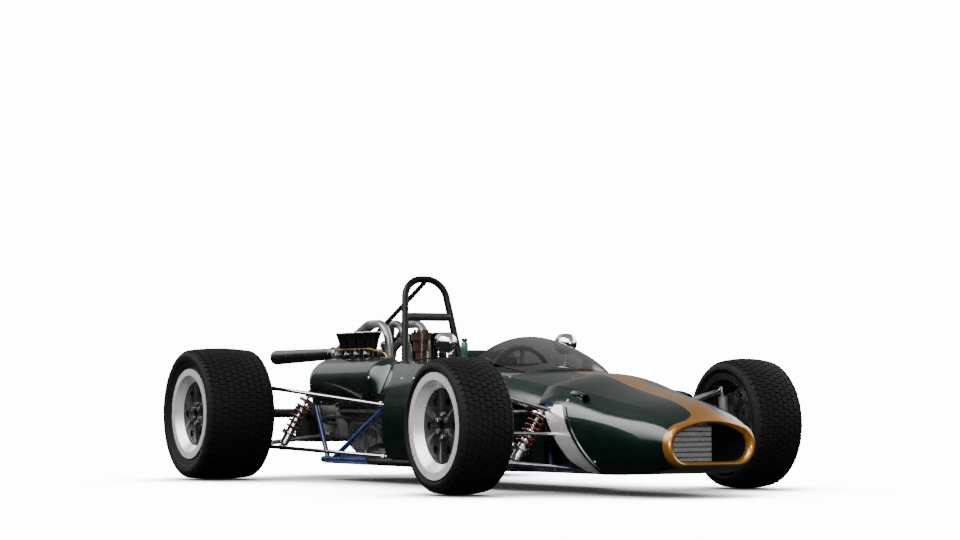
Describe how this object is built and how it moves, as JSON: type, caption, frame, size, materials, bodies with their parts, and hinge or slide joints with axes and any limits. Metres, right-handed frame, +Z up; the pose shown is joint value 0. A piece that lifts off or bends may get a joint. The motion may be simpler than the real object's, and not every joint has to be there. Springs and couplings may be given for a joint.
{
  "type": "open wheel racing car",
  "caption": "Single-seat open wheel racing car with tube frame, slim cigar body, rear vee engine, exposed suspension and wide tyres.",
  "frame": {"origin": "on the floor below the middle of the car's box", "axes": "+Z up, the nose points to -Y, the driver's left is +X"},
  "size_m": [1.738, 3.7104, 0.948],
  "materials": {
    "body_paint": "glossy dark green",
    "frame_paint": "satin blue",
    "bare_aluminium": "brushed sheet",
    "plated_steel": "bright plated",
    "cast_alloy": "as cast",
    "black_paint": "satin black",
    "tyre_rubber": "matt",
    "rim_alloy": "polished lip, black centre",
    "brake_iron": "machined",
    "spring_red": "gloss dark red",
    "perspex": "tinted clear",
    "leather_black": "satin",
    "pipe_steel": "satin",
    "hose_rubber": "matt",
    "fuel_brass": "plated line",
    "cap_brown": "moulded",
    "core_grey": "matt fins",
    "dash_black": "crackle"
  },
  "bodies": {
    "chassis": {"frame_rails": "frame_paint", "frame_braces": "frame_paint", "frame_cross_tubes": "frame_paint", "undertray": "bare_aluminium", "nose_cone": "body_paint", "nose_former": "bare_aluminium", "radiator": "core_grey", "cockpit_surround": "body_paint", "lower_side_panels": "body_paint", "windscreen": "perspex", "engine_side_covers": "body_paint", "seat": "leather_black", "dashboard": "dash_black", "roll_hoop": "black_paint", "headrest": "leather_black", "mirrors": "plated_steel", "rack_housing": "cast_alloy", "front_wishbones": "plated_steel", "front_anti_roll_bar": "plated_steel", "dampers": "pipe_steel", "springs": "spring_red", "damper_outriggers": "frame_paint", "engine_block": "cast_alloy", "cylinder_heads": "cast_alloy", "intake_trumpets": "black_paint", "exhaust_pipes": "pipe_steel", "water_pipes": "pipe_steel", "engine_hoses": "hose_rubber", "fuel_lines": "fuel_brass", "ignition_unit": "cap_brown", "gearbox": "cast_alloy", "oil_tank": "black_paint", "rear_uprights": "cast_alloy", "radius_rods": "plated_steel", "rear_links": "plated_steel"},
    "upright_left": {"upright_front_left": "cast_alloy"},
    "upright_right": {"upright_front_right": "cast_alloy"},
    "track_rod_left": {"track_rod_left": "plated_steel"},
    "track_rod_right": {"track_rod_right": "plated_steel"},
    "rack": {"rack_bar": "plated_steel"},
    "steering": {"steering_wheel": "leather_black"},
    "wheel_front_left": {"wheel_front_left": "rim_alloy", "tyre_front_left": "tyre_rubber", "hub_front_left": "brake_iron"},
    "wheel_rear_left": {"wheel_rear_left": "rim_alloy", "tyre_rear_left": "tyre_rubber", "hub_rear_left": "brake_iron"},
    "wheel_front_right": {"wheel_front_right": "rim_alloy", "tyre_front_right": "tyre_rubber", "hub_front_right": "brake_iron"},
    "wheel_rear_right": {"wheel_rear_right": "rim_alloy", "tyre_rear_right": "tyre_rubber", "hub_rear_right": "brake_iron"}
  },
  "joints": [
    {"name": "steer_left", "type": "hinge", "parent": "chassis", "child": "upright_left", "pos_m": [0.58312, -1.08, 0.273], "axis": [-0.1223, 0, 0.9925], "range_deg": [-20, 20]},
    {"name": "steer_right", "type": "hinge", "parent": "chassis", "child": "upright_right", "pos_m": [-0.58312, -1.08, 0.273], "axis": [0.1223, 0, 0.9925], "range_deg": [-20, 20]},
    {"name": "track_rod_left_pivot", "type": "hinge", "parent": "upright_left", "child": "track_rod_left", "pos_m": [0.58657, -1.185, 0.245], "axis": [-0.1223, 0, 0.9925], "range_deg": [-20, 20]},
    {"name": "track_rod_right_pivot", "type": "hinge", "parent": "upright_right", "child": "track_rod_right", "pos_m": [-0.58657, -1.185, 0.245], "axis": [0.1223, 0, 0.9925], "range_deg": [-20, 20]},
    {"name": "rack_slide", "type": "slide", "parent": "chassis", "child": "rack", "axis": [1, 0, 0], "range_m": [-0.0367, 0.0367]},
    {"name": "steering_wheel_turn", "type": "hinge", "parent": "chassis", "child": "steering", "pos_m": [0, -0.353, 0.452], "axis": [0, 0.9679, 0.2513], "range_deg": [-160, 160]},
    {"name": "spin_front_left", "type": "hinge", "parent": "upright_left", "child": "wheel_front_left", "pos_m": [0.684, -1.08, 0.273], "axis": [1, 0, 0], "continuous": true},
    {"name": "spin_rear_left", "type": "hinge", "parent": "chassis", "child": "wheel_rear_left", "pos_m": [0.699, 1.31, 0.312], "axis": [1, 0, 0], "continuous": true},
    {"name": "spin_front_right", "type": "hinge", "parent": "upright_right", "child": "wheel_front_right", "pos_m": [-0.684, -1.08, 0.273], "axis": [1, 0, 0], "continuous": true},
    {"name": "spin_rear_right", "type": "hinge", "parent": "chassis", "child": "wheel_rear_right", "pos_m": [-0.699, 1.31, 0.312], "axis": [1, 0, 0], "continuous": true}
  ],
  "couplings": [
    {"joint": "steer_right", "follows": "steer_left", "ratio": 1},
    {"joint": "track_rod_left_pivot", "follows": "steer_left", "ratio": -1},
    {"joint": "track_rod_right_pivot", "follows": "steer_left", "ratio": -1},
    {"joint": "rack_slide", "follows": "steer_left", "m_per_rad": 0.105},
    {"joint": "steering_wheel_turn", "follows": "steer_left", "ratio": 8}
  ]
}
